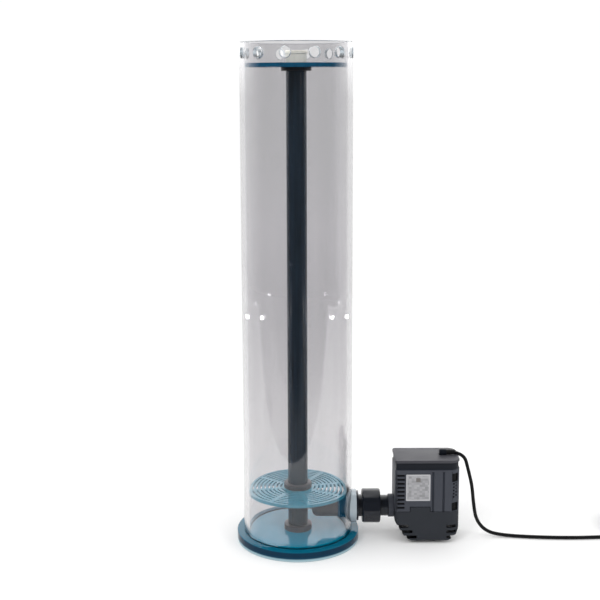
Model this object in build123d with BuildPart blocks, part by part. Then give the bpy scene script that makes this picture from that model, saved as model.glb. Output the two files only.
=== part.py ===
"""Recirculating reactor column with a submersible pump on its side.

Millimetres. The origin is the centre of the base plate's underside, on the tube's axis. +Z is up,
+X points from the tube to the pump, and the pump's rating plate faces -Y.
"""

from build123d import *
from math import cos, pi, radians, sin, tan
import os

os.makedirs("parts", exist_ok=True)

# Fits
plate_gap = 0.3  # lift-out plates to the tube's bore, all round
slide_gap = 0.1  # centre pipe in its base collar, all round
running_gap = 0.1  # turning parts on their seats, all round
glue_gap = 0.02  # glued and pressed round joints, all round

# Column
tube_outer_radius = 55
tube_wall = 5
tube_length = 490
base_radius = 62
base_thickness = 10
base_edge_chamfer = 0.6
overflow_count = 12
overflow_radius = 5
overflow_below_rim = 10.5
overflow_first_angle = 19

# Lift-out insert
pipe_radius = 10
pipe_wall = 1.5
collar_wall = 4
collar_chamfer = 0.6
base_collar_height = 5.5
diffuser_above_inlet = 18.2  # underside of the diffuser plate above the inlet's axis
diffuser_thickness = 3
diffuser_collar_height = 5
top_plate_height = 476  # underside of the top plate above the floor
top_plate_thickness = 4
top_collar_wall = 4.8
top_collar_height = 3.4

# Slots in both plates: rings of arcs, parted by spokes
slot_width = 1.7
slot_pitch = 4.1
slot_rings = 8
first_slot_radius = 17.3
spoke_count = 8
spoke_width = 4.2
spoke_first_angle = 12

# Lift knob
knob_radius = 10.8
knob_height = 12
knob_flange_height = 3
knob_waist = 0.7  # how much thinner the knob is below its flange
knob_screw_radius = 2
knob_screw_depth = 9
knob_screw_head_radius = 4.5
knob_screw_head_height = 3
knob_chamfer = 0.8
screw_slot = 1.2  # width and depth of the slot in the screw's head
screw_end_gap = 0.5

# Inlet through the tube's wall
inlet_height = 32.8
boss_wall = 6.6
boss_length = 4.5  # from the tube's outermost line to the boss's face
socket_wall = 1.8
socket_length = 10
inlet_pipe_reach = 14.4  # X of the mitred pipe's tip

# Union
union_flange_radius = 15
union_flange_thickness = 2
union_neck_radius = 11
union_neck_length = 4
union_bore_radius = 7.5
union_thread_radius = 13.6
union_thread_length = 10.5
union_joint_gap = 0.5  # face to face, closed by the O-ring
union_tail_flange_thickness = 3
union_tail_radius = 10.4
union_tail_length = 12.5
union_tail_bore_radius = 5.5
nut_play = 0.2  # end play of the nut on the tail's flange
nut_angle = 5
nut_across = 33.4
nut_length = 18.4
nut_sides = 8
nut_chamfer = 1.2
seal_wire_radius = 0.9
seal_radius = 10.5
seal_groove = 1.2  # half the groove's width, as a share of the seal's wire radius

# Pump body
pump_gap = 5.6  # from the union tail's shoulder to the pump's side
pump_length = 65.4
pump_depth = 40
pump_near_corner = 3
pump_far_corner = 10
pump_wall = 2.4
foot_height = 3.3
split_above_inlet = 0.9  # top of the basket above the outlet's axis
housing_height = 43.6  # the grey motor housing's front, above the basket
neck_height = 7.1  # recessed band under the lid
neck_inset = 1.0
lid_thickness = 2.6
lid_edge_radius = 1.0
outlet_collar_radius = 11.5
outlet_tube_radius = 8.6
outlet_bore_radius = 7.2

# Basket shape and intake slots
basket_side_drop = 10.3  # height of the basket's near side that stays upright
basket_corner_run = 17.1
basket_far_rise = 8.7
basket_far_run = 11.2
intake_rows = 3
intake_pitch = 5.6
intake_slot_height = 2.8
intake_first = 3.6  # lowest slot's middle above the basket's underside
intake_near_length = 22.1  # lowest slot from the near side, and how much shorter each higher one is
intake_near_step = 4.2
intake_far_length = 9.5
intake_far_inset = 8.5
intake_overshoot = 2
basket_bend = [(0.6, 0.18), (0.32, 0.62)]  # where the cut corners' bends lie, as shares of run and rise
tongue_width = 20
tongue_from_side = 15.4
tongue_height = 4.9
tongue_thickness = 1.6
tongue_gap = 0.3

# Housing front
vent_count = 9
vent_pitch = 4.2
vent_height = 1.9
vent_width = 8.4
vent_from_side = 1.2
vent_depth = 1.2
vent_first = 4.2  # lowest vent's middle above the basket
plate_width = 24.4
plate_height = 27.7
plate_from_side = 10.9
plate_lift = 11.6  # rating plate's lower edge above the basket
rating_plate_thickness = 0.5
groove_from_side = [37.2, 47.8]
groove_width = 1.8
port_from_side = 57.1
port_width = 6
port_height = 8.6
port_lifts = [0.6, 31.1]
vent_dot_rows = 5
vent_dot_pitch = 3.4
vent_dot_first = 14.5
vent_dot_size = 1.6
vent_dot_inset = 1
vent_dot_step = 2.6
groove_end = 2  # top of the grooves below the neck
plate_corner = 0.8

# Motor and volute
rotor_from_side = 32.4
volute_radius = 17
volute_wall = 1.8
cover_below_inlet = 10.8  # volute cover's underside below the outlet's axis
volute_cover_thickness = 2
volute_top_thickness = 3
volute_chamber_height = 17
inlet_eye_radius = 8
spider_width = 2
spider_hub_radius = 4
impeller_radius = 13.2
impeller_disc_thickness = 2
impeller_vane_count = 7
impeller_vane_thickness = 1.2
impeller_vane_height = 10.5
impeller_hub_radius = 4
impeller_lift = 2  # impeller's underside above the volute cover
impeller_vane_gap = 0.4  # vane tips inside the disc's edge
impeller_vane_root = 1  # how far the vanes run into the hub
magnet_radius = 8.3
magnet_length = 21.6
magnet_lift = 1
well_gap = 0.6
well_wall = 0.7
well_depth = 24
well_cap = 1.5
shaft_radius = 1.5
bush_radius = 2.6
bush_height = 2.4
bush_lift = 0.6  # lower bush above the volute cover's underside
bush_floor = 0.6  # what is left of the lower bush under the shaft
shaft_end_gap = 0.2
motor_floor_thickness = 3
stator_outer_radius = 16.5
stator_height = 16
stator_lift = 4.5
winding_height = 3.2
winding_inner_radius = 10.8
winding_outer_radius = 15.4
stator_hole_radius = 1.4
stator_hole_circle = 13
board_length = 54
board_width = 30
board_thickness = 1.6
board_lift = 27.5  # board's underside above the motor floor
post_radius = 2
post_inset = 4
capacitor_radius = 3.6
capacitor_height = 6
capacitor_spacing = (14, 12)
terminal_block = (8, 16)
choke_block = (6, 18)
board_gap = 1  # board's end to the housing's near wall
screw_radius = 1.4
screw_head_radius = 2.5
screw_head_height = 2
screw_spacing = 28
screw_grip = 2.3
screw_hole_spare = 0.2  # how much deeper the hole is than the screw
flange_side = 34.4
flange_corner = 3
volute_seal_radius = 11.5
pillar_radius = 2
pillar_inset = 2.5
foot_radius = 3.5
foot_spacing_x = 28
foot_spacing_y = 15.6
foot_shift = 0.6  # middle of the feet from the pump's, along X

# Cable outlet on the lid
gland_radius = 3.6
gland_length = 7
gland_from_side = 46
cable_rise = 2.5  # cable's axis above the lid
relief_radius = 2.9
relief_tip_radius = 2.3
relief_length = 9
gland_chamfer = 0.8

# Cable
cable_diameter = 3.6
coil_turn_radius = 22
coil_layers = 3
coil_edge_radius = 1.5
coil_from_pump = 185.9  # coil's middle from the pump's far end
coil_side = 22.4  # and from the middle plane
# the hanging part's corners: distance from the pump's far end, Y, and share of the outlet's height
cable_hang = [
    (5, 0, 1),
    (10.6, -0.8, 0.8),
    (14.6, -1.4, 0.61),
    (16.2, -2, 0.41),
    (19.2, -2.8, 0.195),
    (30, -3.4, 0.06),
]
# the corners on the floor: distance from the pump's far end, and Y
cable_on_floor = [(47.5, -4.6), (80, -9.4), (117, -11.4), (154, -9.2), (188, -4.4)]
connector_radius = 5.6
connector_nut_radius = 6.8
connector_nut_length = 12
connector_length = 40
connector_mouth_depth = 6
connector_mouth_wall = 1.8
connector_pin_radius = 1.2
connector_offset = -14.5  # connector's axis from the coil's, along X
connector_end_offset = 13  # connector's cable end from the coil's axis, along Y

# Places worked out from the sizes
tube_bore_radius = tube_outer_radius - tube_wall
tube_top = base_thickness + tube_length
diffuser_height = inlet_height + diffuser_above_inlet
diffuser_top = diffuser_height + diffuser_thickness
top_plate_top = top_plate_height + top_plate_thickness
plate_radius = tube_bore_radius - plate_gap
collar_radius = pipe_radius + collar_wall
top_collar_radius = pipe_radius + top_collar_wall
boss_radius = pipe_radius + boss_wall
socket_radius = pipe_radius + socket_wall
boss_face = tube_outer_radius + boss_length
union_thread_start = boss_face + union_flange_thickness + union_neck_length
union_face = union_thread_start + union_thread_length
tail_face = union_face + union_joint_gap
tail_flange_end = tail_face + union_tail_flange_thickness
tail_shoulder = tail_flange_end + union_tail_length
pump_side = tail_shoulder + pump_gap
pump_middle = pump_side + pump_length / 2
split_height = inlet_height + split_above_inlet
neck_start = split_height + housing_height
lid_start = neck_start + neck_height
lid_top = lid_start + lid_thickness
rotor_x = pump_side + rotor_from_side
cover_bottom = inlet_height - cover_below_inlet
cover_top = cover_bottom + volute_cover_thickness
chamber_top = cover_top + volute_chamber_height
motor_floor = chamber_top + volute_top_thickness
well_top = motor_floor + motor_floor_thickness + well_depth
stator_bottom = motor_floor + motor_floor_thickness + stator_lift
board_bottom = motor_floor + motor_floor_thickness + board_lift
gland_start = pump_side + gland_from_side
cable_height = lid_top + cable_rise
cable_exit = gland_start + gland_length


def save(part, name):
    """Labels a finished piece and writes it."""
    part.label = name
    export_step(part, f"parts/{name}.step")


def outer_top_edge(piece):
    """The largest of the circles round the top of a ring that is being built."""
    circles = piece.edges().filter_by(GeomType.CIRCLE)
    return circles.group_by(Axis.Z)[-1].sort_by(SortBy.RADIUS)[-1]


def slot_pattern():
    """Rings of arc slots, the outermost first, parted by spokes, for the sketch that is open."""
    for ring in reversed(range(slot_rings)):
        radius = first_slot_radius + ring * slot_pitch
        Circle(radius + slot_width / 2)
        Circle(radius - slot_width / 2, mode=Mode.SUBTRACT)
    with PolarLocations(plate_radius / 2, spoke_count, start_angle=spoke_first_angle):
        Rectangle(plate_radius, spoke_width, mode=Mode.SUBTRACT)


def pump_plan(inset=0, mode=Mode.ADD):
    """The pump's outline from above, drawn in by inset: small corners near the tube, large ones away."""
    near_corner = max(pump_near_corner - inset, 0.5)
    far_corner = pump_far_corner - inset
    half_length, half_depth = pump_length / 2 - inset, pump_depth / 2 - inset
    with BuildSketch(mode=Mode.PRIVATE) as outline:
        Rectangle(2 * half_length, 2 * half_depth)
        fillet(outline.vertices().group_by(Axis.X)[0], near_corner)
        fillet(outline.vertices().group_by(Axis.X)[-1], far_corner)
    with Locations((pump_middle, 0)):
        add(outline.sketch, mode=mode)


def skin_block(low_x, high_x, low_z, high_z, depth):
    """A block that follows the pump's front skin down to depth, between two X and two heights."""
    with BuildPart() as block:
        with BuildSketch(Plane.XY.offset(low_z)):
            pump_plan()
            pump_plan(depth, Mode.SUBTRACT)
        extrude(amount=high_z - low_z)
        with BuildSketch(Plane.XY.offset(low_z)):
            with Locations(((low_x + high_x) / 2, -pump_depth / 4)):
                Rectangle(high_x - low_x, pump_depth / 2)
        extrude(amount=high_z - low_z, mode=Mode.INTERSECT)
    return block.part


def basket_form(inset):
    """The basket's outer form, drawn in by inset at the sides and below: its lower corners are cut away."""
    bottom = foot_height + inset
    left, right = pump_side + inset, pump_side + pump_length - inset
    (near_run, near_rise), (far_run, far_rise) = basket_bend
    with BuildPart() as form:
        with BuildSketch(Plane.XY.offset(bottom)):
            pump_plan(inset)
        extrude(amount=split_height - bottom)
        with BuildSketch(Plane.XZ):
            with BuildLine():
                Polyline(
                    (left, split_height),
                    (left, split_height - basket_side_drop),
                    (left + near_run * basket_corner_run, bottom + near_rise * basket_corner_run),
                    (left + basket_corner_run, bottom),
                    (right - basket_far_run, bottom),
                    (right - far_run * basket_far_run, bottom + far_rise * basket_far_rise),
                    (right, bottom + basket_far_rise + basket_far_run / 4),
                    (right, split_height),
                    close=True,
                )
            make_face()
        extrude(amount=pump_depth, both=True, mode=Mode.INTERSECT)
    return form.part


# Column

with BuildPart() as base_plate:
    Cylinder(base_radius, base_thickness, align=(Align.CENTER, Align.CENTER, Align.MIN))
    chamfer(base_plate.edges().filter_by(GeomType.CIRCLE), base_edge_chamfer)
save(base_plate.part, "base_plate")

with BuildPart() as reactor_tube:
    with BuildSketch(Plane.XY.offset(base_thickness)):
        Circle(tube_outer_radius)
        Circle(tube_bore_radius, mode=Mode.SUBTRACT)
    extrude(amount=tube_length)
    # overflow holes round the rim
    for hole in range(overflow_count):
        angle = radians(overflow_first_angle + hole * 360 / overflow_count)
        outward = (cos(angle), sin(angle), 0)
        hole_plane = Plane(origin=(0, 0, tube_top - overflow_below_rim), z_dir=outward)
        with BuildSketch(hole_plane.offset(tube_bore_radius - tube_wall)):
            Circle(overflow_radius)
        extrude(amount=3 * tube_wall, mode=Mode.SUBTRACT)
    # inlet hole
    with BuildSketch(Plane.YZ.offset(tube_bore_radius - tube_wall)):
        with Locations((0, inlet_height)):
            Circle(pipe_radius + glue_gap)
    extrude(amount=3 * tube_wall, mode=Mode.SUBTRACT)
save(reactor_tube.part, "reactor_tube")

with BuildPart() as base_collar:
    with BuildSketch(Plane.XY.offset(base_thickness)):
        Circle(collar_radius)
        Circle(pipe_radius + slide_gap, mode=Mode.SUBTRACT)
    extrude(amount=base_collar_height)
    chamfer(outer_top_edge(base_collar), collar_chamfer)
save(base_collar.part, "base_collar")

# Lift-out insert

with BuildPart() as riser_pipe:
    with BuildSketch(Plane.XY.offset(base_thickness)):
        Circle(pipe_radius)
        Circle(pipe_radius - pipe_wall, mode=Mode.SUBTRACT)
    extrude(amount=top_plate_height - base_thickness)
save(riser_pipe.part, "riser_pipe")

with BuildPart() as diffuser_plate:
    with BuildSketch(Plane.XY.offset(diffuser_height)):
        Circle(plate_radius)
        Circle(pipe_radius + glue_gap, mode=Mode.SUBTRACT)
    extrude(amount=diffuser_thickness)
    with BuildSketch(Plane.XY.offset(diffuser_height)):
        slot_pattern()
    extrude(amount=diffuser_thickness, mode=Mode.SUBTRACT)
save(diffuser_plate.part, "diffuser_plate")

with BuildPart() as diffuser_collar:
    with BuildSketch(Plane.XY.offset(diffuser_top)):
        Circle(collar_radius)
        Circle(pipe_radius + glue_gap, mode=Mode.SUBTRACT)
    extrude(amount=diffuser_collar_height)
    chamfer(outer_top_edge(diffuser_collar), collar_chamfer)
save(diffuser_collar.part, "diffuser_collar")

with BuildPart() as top_collar:
    with BuildSketch(Plane.XY.offset(top_plate_height - top_collar_height)):
        Circle(top_collar_radius)
        Circle(pipe_radius + glue_gap, mode=Mode.SUBTRACT)
    extrude(amount=top_collar_height)
save(top_collar.part, "top_collar")

# Top plate with its knob

with BuildPart() as top_plate:
    with BuildSketch(Plane.XY.offset(top_plate_height)):
        Circle(plate_radius)
        Circle(knob_screw_radius + glue_gap, mode=Mode.SUBTRACT)
    extrude(amount=top_plate_thickness)
    with BuildSketch(Plane.XY.offset(top_plate_height)):
        slot_pattern()
    extrude(amount=top_plate_thickness, mode=Mode.SUBTRACT)
save(top_plate.part, "top_plate")

with BuildPart() as lift_knob:
    with BuildSketch(Plane.XY.offset(top_plate_top)):
        Circle(knob_radius - knob_waist)
    extrude(amount=knob_height - knob_flange_height)
    with BuildSketch(Plane.XY.offset(top_plate_top + knob_height - knob_flange_height)):
        Circle(knob_radius)
    extrude(amount=knob_flange_height)
    chamfer(lift_knob.edges().filter_by(GeomType.CIRCLE).group_by(Axis.Z)[-1], knob_chamfer)
    with BuildSketch(Plane.XY.offset(top_plate_top)):
        Circle(knob_screw_radius + glue_gap)
    extrude(amount=knob_screw_depth, mode=Mode.SUBTRACT)
save(lift_knob.part, "lift_knob")

with BuildPart() as knob_screw:
    with BuildSketch(Plane.XY.offset(top_plate_height - knob_screw_head_height)):
        Circle(knob_screw_head_radius)
    extrude(amount=knob_screw_head_height)
    with BuildSketch(Plane.XY.offset(top_plate_height)):
        Circle(knob_screw_radius)
    extrude(amount=top_plate_thickness + knob_screw_depth - screw_end_gap)
    with BuildSketch(Plane.XY.offset(top_plate_height - knob_screw_head_height)):
        Rectangle(2 * knob_screw_head_radius, screw_slot)
    extrude(amount=screw_slot, mode=Mode.SUBTRACT)
save(knob_screw.part, "knob_screw")

# Inlet

with BuildPart() as inlet_boss:
    with BuildSketch(Plane.YZ.offset(tube_bore_radius)):
        with Locations((0, inlet_height)):
            Circle(boss_radius)
            Circle(pipe_radius + glue_gap, mode=Mode.SUBTRACT)
    extrude(amount=boss_face - tube_bore_radius)
    with BuildSketch(Plane.XY):
        Circle(tube_outer_radius)
    extrude(amount=inlet_height + 2 * boss_radius, mode=Mode.SUBTRACT)
save(inlet_boss.part, "inlet_boss")

with BuildPart() as inlet_socket:
    with BuildSketch(Plane.YZ.offset(tube_bore_radius - socket_length)):
        with Locations((0, inlet_height)):
            Circle(socket_radius)
            Circle(pipe_radius + glue_gap, mode=Mode.SUBTRACT)
    extrude(amount=socket_length)
    with BuildSketch(Plane.XY):
        Circle(tube_bore_radius)
    extrude(amount=inlet_height + 2 * boss_radius, mode=Mode.INTERSECT)
save(inlet_socket.part, "inlet_socket")

with BuildPart() as inlet_pipe:
    with BuildSketch(Plane.YZ.offset(inlet_pipe_reach)):
        with Locations((0, inlet_height)):
            Circle(pipe_radius)
            Circle(pipe_radius - pipe_wall, mode=Mode.SUBTRACT)
    extrude(amount=tube_outer_radius - inlet_pipe_reach)
    # the mouth is cut at 45 degrees and opens towards +Y, so that the water swirls
    with BuildSketch(Plane.XY.offset(inlet_height - 2 * pipe_radius)):
        with BuildLine():
            Polyline(
                (inlet_pipe_reach - pipe_radius, -2 * pipe_radius),
                (inlet_pipe_reach + 3 * pipe_radius, 2 * pipe_radius),
                (inlet_pipe_reach - pipe_radius, 2 * pipe_radius),
                close=True,
            )
        make_face()
    extrude(amount=4 * pipe_radius, mode=Mode.SUBTRACT)
save(inlet_pipe.part, "inlet_pipe")

# Union, turned about the inlet's axis: (X, radius) profiles


def turned(profile):
    """A ring or tube about the inlet's axis from its profile of X and radius."""
    with BuildPart() as piece:
        with BuildSketch(Plane.XZ):
            with BuildLine():
                Polyline(*[(x, inlet_height + radius) for x, radius in profile], close=True)
            make_face()
        revolve(axis=Axis((0, 0, inlet_height), (1, 0, 0)))
    return piece.part


flange_end = boss_face + union_flange_thickness
with BuildPart() as union_body:
    add(turned([
        (tube_outer_radius + glue_gap, union_bore_radius),
        (tube_outer_radius + glue_gap, pipe_radius),
        (boss_face, pipe_radius),
        (boss_face, union_flange_radius),
        (flange_end, union_flange_radius),
        (flange_end, union_neck_radius),
        (union_thread_start, union_neck_radius),
        (union_thread_start, union_thread_radius),
        (union_face, union_thread_radius),
        (union_face, seal_radius + seal_groove * seal_wire_radius),
        (tail_face - 2 * seal_wire_radius, seal_radius + seal_groove * seal_wire_radius),
        (tail_face - 2 * seal_wire_radius, seal_radius - seal_groove * seal_wire_radius),
        (union_face, seal_radius - seal_groove * seal_wire_radius),
        (union_face, union_bore_radius),
    ]))
save(union_body.part, "union_body")

with BuildPart() as union_seal:
    with BuildSketch(Plane.XZ):
        with Locations((tail_face - seal_wire_radius, inlet_height + seal_radius)):
            Circle(seal_wire_radius)
    revolve(axis=Axis((0, 0, inlet_height), (1, 0, 0)))
save(union_seal.part, "union_seal")

nut_start = union_thread_start - nut_play
nut_end = nut_start + nut_length
nut_shoulder = tail_flange_end + nut_play
with BuildPart() as union_nut:
    with BuildSketch(Plane.YZ.offset(nut_start)):
        with Locations((0, inlet_height)):
            RegularPolygon(nut_across / 2, nut_sides, major_radius=False, rotation=nut_angle)
    extrude(amount=nut_length)
    with BuildSketch(Plane.XZ):
        with BuildLine():
            Polyline(
                (nut_start, inlet_height),
                (nut_start, inlet_height + nut_across / 2 - nut_chamfer / 2),
                (nut_start + nut_chamfer, inlet_height + nut_across / 2 + nut_chamfer / 2),
                (nut_end - nut_chamfer, inlet_height + nut_across / 2 + nut_chamfer / 2),
                (nut_end, inlet_height + nut_across / 2 - nut_chamfer / 2),
                (nut_end, inlet_height),
                close=True,
            )
        make_face()
    revolve(axis=Axis((0, 0, inlet_height), (1, 0, 0)), mode=Mode.INTERSECT)
    with BuildSketch(Plane.YZ.offset(nut_start)):
        with Locations((0, inlet_height)):
            Circle(union_thread_radius + running_gap)
    extrude(amount=nut_shoulder - nut_start, mode=Mode.SUBTRACT)
    with BuildSketch(Plane.YZ.offset(nut_shoulder)):
        with Locations((0, inlet_height)):
            Circle(union_tail_radius + running_gap)
    extrude(amount=nut_end - nut_shoulder, mode=Mode.SUBTRACT)
save(union_nut.part, "union_nut")

with BuildPart() as union_tail:
    add(turned([
        (tail_face, union_tail_bore_radius),
        (tail_face, union_thread_radius - nut_play),
        (tail_flange_end, union_thread_radius - nut_play),
        (tail_flange_end, union_tail_radius),
        (tail_shoulder, union_tail_radius),
        (tail_shoulder, outlet_bore_radius - glue_gap),
        (pump_side, outlet_bore_radius - glue_gap),
        (pump_side, union_tail_bore_radius),
    ]))
save(union_tail.part, "union_tail")

# Pump: volute

with BuildPart() as volute_housing:
    with BuildSketch(Plane.XY.offset(cover_top)):
        with Locations((rotor_x, 0)):
            Circle(volute_radius)
    extrude(amount=volute_chamber_height)
    with BuildSketch(Plane.XY.offset(chamber_top)):
        with Locations((rotor_x, 0)):
            RectangleRounded(flange_side, flange_side, flange_corner)
    extrude(amount=volute_top_thickness)
    # outlet tube and the collar outside the pump's side
    with BuildSketch(Plane.YZ.offset(pump_side)):
        with Locations((0, inlet_height)):
            Circle(outlet_tube_radius)
    extrude(amount=rotor_from_side - volute_radius + volute_wall)
    with BuildSketch(Plane.YZ.offset(tail_shoulder)):
        with Locations((0, inlet_height)):
            Circle(outlet_collar_radius)
    extrude(amount=pump_gap)
    # bore, chamber, rotor hole and seal groove
    with BuildSketch(Plane.YZ.offset(tail_shoulder)):
        with Locations((0, inlet_height)):
            Circle(outlet_bore_radius)
    extrude(amount=pump_gap + rotor_from_side, mode=Mode.SUBTRACT)
    with BuildSketch(Plane.XY.offset(cover_top)):
        with Locations((rotor_x, 0)):
            Circle(volute_radius - volute_wall)
    extrude(amount=volute_chamber_height, mode=Mode.SUBTRACT)
    with BuildSketch(Plane.XY.offset(chamber_top)):
        with Locations((rotor_x, 0)):
            Circle(magnet_radius + well_gap)
    extrude(amount=volute_top_thickness, mode=Mode.SUBTRACT)
    with BuildSketch(Plane.XY.offset(motor_floor - 2 * seal_wire_radius)):
        with Locations((rotor_x, 0)):
            Circle(volute_seal_radius + seal_groove * seal_wire_radius)
            Circle(volute_seal_radius - seal_groove * seal_wire_radius, mode=Mode.SUBTRACT)
    extrude(amount=2 * seal_wire_radius, mode=Mode.SUBTRACT)
    with BuildSketch(Plane.XY.offset(chamber_top)):
        with Locations((rotor_x, 0)):
            with GridLocations(screw_spacing, screw_spacing, 2, 2):
                Circle(screw_radius + glue_gap)
    extrude(amount=volute_top_thickness, mode=Mode.SUBTRACT)
save(volute_housing.part, "volute_housing")

with BuildPart() as volute_seal:
    with BuildSketch(Plane.XZ):
        with Locations((rotor_x + volute_seal_radius, motor_floor - seal_wire_radius)):
            Circle(seal_wire_radius)
    revolve(axis=Axis((rotor_x, 0, 0), (0, 0, 1)))
save(volute_seal.part, "volute_seal")

with BuildPart() as volute_cover:
    with BuildSketch(Plane.XY.offset(cover_bottom)):
        with Locations((rotor_x, 0)):
            Circle(volute_radius)
            Circle(inlet_eye_radius, mode=Mode.SUBTRACT)
            with PolarLocations(inlet_eye_radius / 2, 3):
                Rectangle(inlet_eye_radius + 1, spider_width)
            Circle(spider_hub_radius)
            Circle(bush_radius + glue_gap, mode=Mode.SUBTRACT)
    extrude(amount=volute_cover_thickness)
save(volute_cover.part, "volute_cover")

# Pump: rotor

impeller_bottom = cover_top + impeller_lift
disc_bottom = impeller_bottom + impeller_vane_height
magnet_bottom = motor_floor + magnet_lift
vane_start = impeller_hub_radius - impeller_vane_root
vane_end = impeller_radius - impeller_vane_gap
with BuildPart() as impeller:
    with BuildSketch(Plane.XY.offset(impeller_bottom)):
        with Locations((rotor_x, 0)):
            with PolarLocations((vane_start + vane_end) / 2, impeller_vane_count):
                Rectangle(vane_end - vane_start, impeller_vane_thickness)
    extrude(amount=impeller_vane_height)
    with BuildSketch(Plane.XY.offset(disc_bottom)):
        with Locations((rotor_x, 0)):
            Circle(impeller_radius)
    extrude(amount=impeller_disc_thickness)
    with BuildSketch(Plane.XY.offset(impeller_bottom)):
        with Locations((rotor_x, 0)):
            Circle(impeller_hub_radius)
    extrude(amount=magnet_bottom - impeller_bottom)
    with BuildSketch(Plane.XY.offset(impeller_bottom)):
        with Locations((rotor_x, 0)):
            Circle(shaft_radius + running_gap)
    extrude(amount=magnet_bottom - impeller_bottom, mode=Mode.SUBTRACT)
save(impeller.part, "impeller")

with BuildPart() as rotor_magnet:
    with BuildSketch(Plane.XY.offset(magnet_bottom)):
        with Locations((rotor_x, 0)):
            Circle(magnet_radius)
            Circle(shaft_radius + running_gap, mode=Mode.SUBTRACT)
    extrude(amount=magnet_length)
save(rotor_magnet.part, "rotor_magnet")

bush_start = cover_bottom + bush_lift
shaft_bottom = bush_start + bush_floor
shaft_top = well_top - well_cap - shaft_end_gap
with BuildPart() as impeller_shaft:
    with BuildSketch(Plane.XY.offset(shaft_bottom)):
        with Locations((rotor_x, 0)):
            Circle(shaft_radius)
    extrude(amount=shaft_top - shaft_bottom)
save(impeller_shaft.part, "impeller_shaft")

with BuildPart() as shaft_bushes:
    with BuildSketch(Plane.XY.offset(bush_start)):
        with Locations((rotor_x, 0)):
            Circle(bush_radius)
    extrude(amount=bush_height)
    with BuildSketch(Plane.XY.offset(well_top - well_cap - bush_height)):
        with Locations((rotor_x, 0)):
            Circle(bush_radius)
    extrude(amount=bush_height)
    with BuildSketch(Plane.XY.offset(shaft_bottom)):
        with Locations((rotor_x, 0)):
            Circle(shaft_radius + glue_gap)
    extrude(amount=shaft_top - shaft_bottom + shaft_end_gap / 2, mode=Mode.SUBTRACT)
save(shaft_bushes.part, "shaft_bushes")

# Pump: motor

with BuildPart() as stator_core:
    with BuildSketch(Plane.XY.offset(stator_bottom)):
        with Locations((rotor_x, 0)):
            Circle(stator_outer_radius)
            Circle(magnet_radius + well_gap + well_wall + glue_gap, mode=Mode.SUBTRACT)
            with PolarLocations(stator_hole_circle, 6):
                Circle(stator_hole_radius, mode=Mode.SUBTRACT)
    extrude(amount=stator_height)
save(stator_core.part, "stator_core")

with BuildPart() as stator_windings:
    for winding_bottom in (stator_bottom - winding_height, stator_bottom + stator_height):
        with BuildSketch(Plane.XY.offset(winding_bottom)):
            with Locations((rotor_x, 0)):
                Circle(winding_outer_radius)
                Circle(winding_inner_radius, mode=Mode.SUBTRACT)
        extrude(amount=winding_height)
save(stator_windings.part, "stator_windings")

board_middle = pump_side + pump_wall + board_gap + board_length / 2
board_top = board_bottom + board_thickness
with BuildPart() as driver_board:
    with BuildSketch(Plane.XY.offset(board_bottom)):
        with Locations((board_middle, 0)):
            Rectangle(board_length, board_width)
    extrude(amount=board_thickness)
    with BuildSketch(Plane.XY.offset(board_top)):
        with Locations((board_middle, 0)):
            with GridLocations(*capacitor_spacing, 2, 2):
                Circle(capacitor_radius)
    extrude(amount=capacitor_height)
    with BuildSketch(Plane.XY.offset(board_top)):
        with Locations((board_middle - board_length / 3, 0)):
            Rectangle(*terminal_block)
        with Locations((board_middle + board_length / 3, 0)):
            Rectangle(*choke_block)
    extrude(amount=capacitor_height / 2)
save(driver_board.part, "driver_board")

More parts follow.
